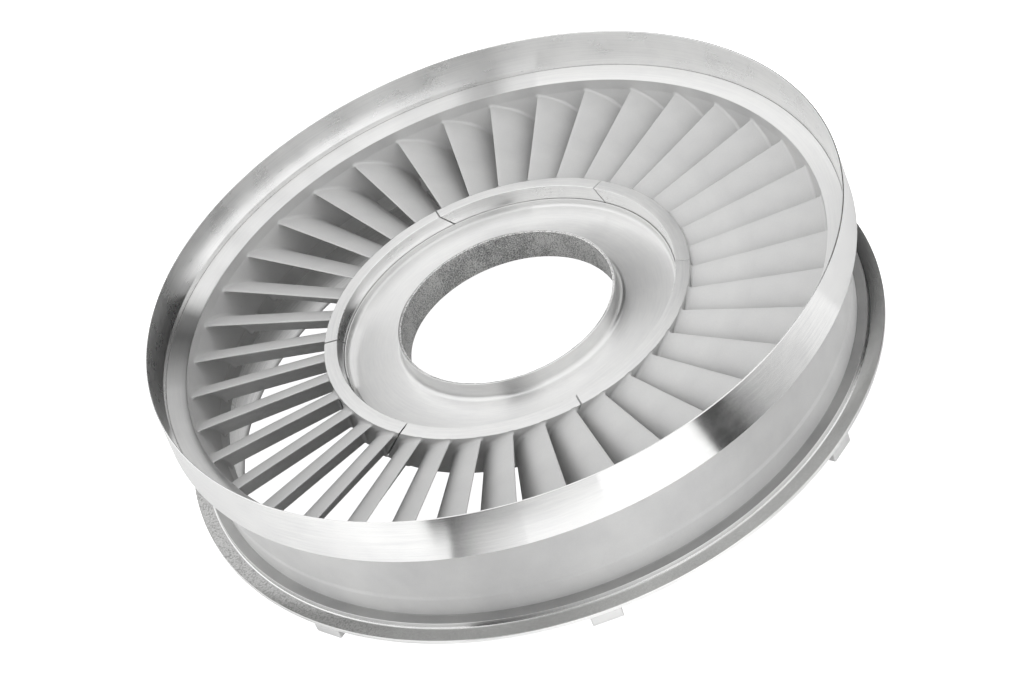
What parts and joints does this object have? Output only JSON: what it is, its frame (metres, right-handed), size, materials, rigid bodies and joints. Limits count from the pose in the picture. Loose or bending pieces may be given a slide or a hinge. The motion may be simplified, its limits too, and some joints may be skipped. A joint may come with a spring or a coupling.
{
  "type": "turbine nozzle guide vane ring",
  "caption": "Stator ring of cambered guide vanes between a tall rimmed outer casing with a rear flange and a segmented inner shroud that holds a seal carrier disc with a lined bore.",
  "frame": {"origin": "on the ring's axis, in the plane of the rear skirt's edge, on which it stands", "axes": "+Z along the ring's axis from the inlet side to the exit side with the tall rim, +X across through the gap after the first vane's exit edge"},
  "size_m": [0.3996, 0.3996, 0.1],
  "materials": {
    "turned_steel": "bright turned",
    "flange_steel": "dull turned, gritty on its face",
    "shroud_steel": "turned on top and inside, cast outside",
    "cast_alloy": "satin cast and blasted",
    "porous_seal": "porous, open celled"
  },
  "bodies": {
    "root": {"rim_band": "turned_steel", "cast_ring": "cast_alloy", "rear_skirt": "turned_steel", "rear_flange": "flange_steel", "seal_carrier_disc": "turned_steel", "bore_lip": "turned_steel", "bore_seal_lining": "porous_seal", "inner_shroud_1": "shroud_steel", "inner_shroud_2": "shroud_steel", "inner_shroud_3": "shroud_steel", "inner_shroud_4": "shroud_steel", "inner_shroud_5": "shroud_steel", "inner_shroud_6": "shroud_steel", "vane_01": "cast_alloy", "vane_02": "cast_alloy", "vane_03": "cast_alloy", "vane_04": "cast_alloy", "vane_05": "cast_alloy", "vane_06": "cast_alloy", "vane_07": "cast_alloy", "vane_08": "cast_alloy", "vane_09": "cast_alloy", "vane_10": "cast_alloy", "vane_11": "cast_alloy", "vane_12": "cast_alloy", "vane_13": "cast_alloy", "vane_14": "cast_alloy", "vane_15": "cast_alloy", "vane_16": "cast_alloy", "vane_17": "cast_alloy", "vane_18": "cast_alloy", "vane_19": "cast_alloy", "vane_20": "cast_alloy", "vane_21": "cast_alloy", "vane_22": "cast_alloy", "vane_23": "cast_alloy", "vane_24": "cast_alloy", "vane_25": "cast_alloy", "vane_26": "cast_alloy", "vane_27": "cast_alloy", "vane_28": "cast_alloy", "vane_29": "cast_alloy", "vane_30": "cast_alloy", "vane_31": "cast_alloy", "vane_32": "cast_alloy", "vane_33": "cast_alloy", "vane_34": "cast_alloy", "vane_35": "cast_alloy", "vane_36": "cast_alloy", "vane_37": "cast_alloy", "vane_38": "cast_alloy"}
  },
  "joints": []
}
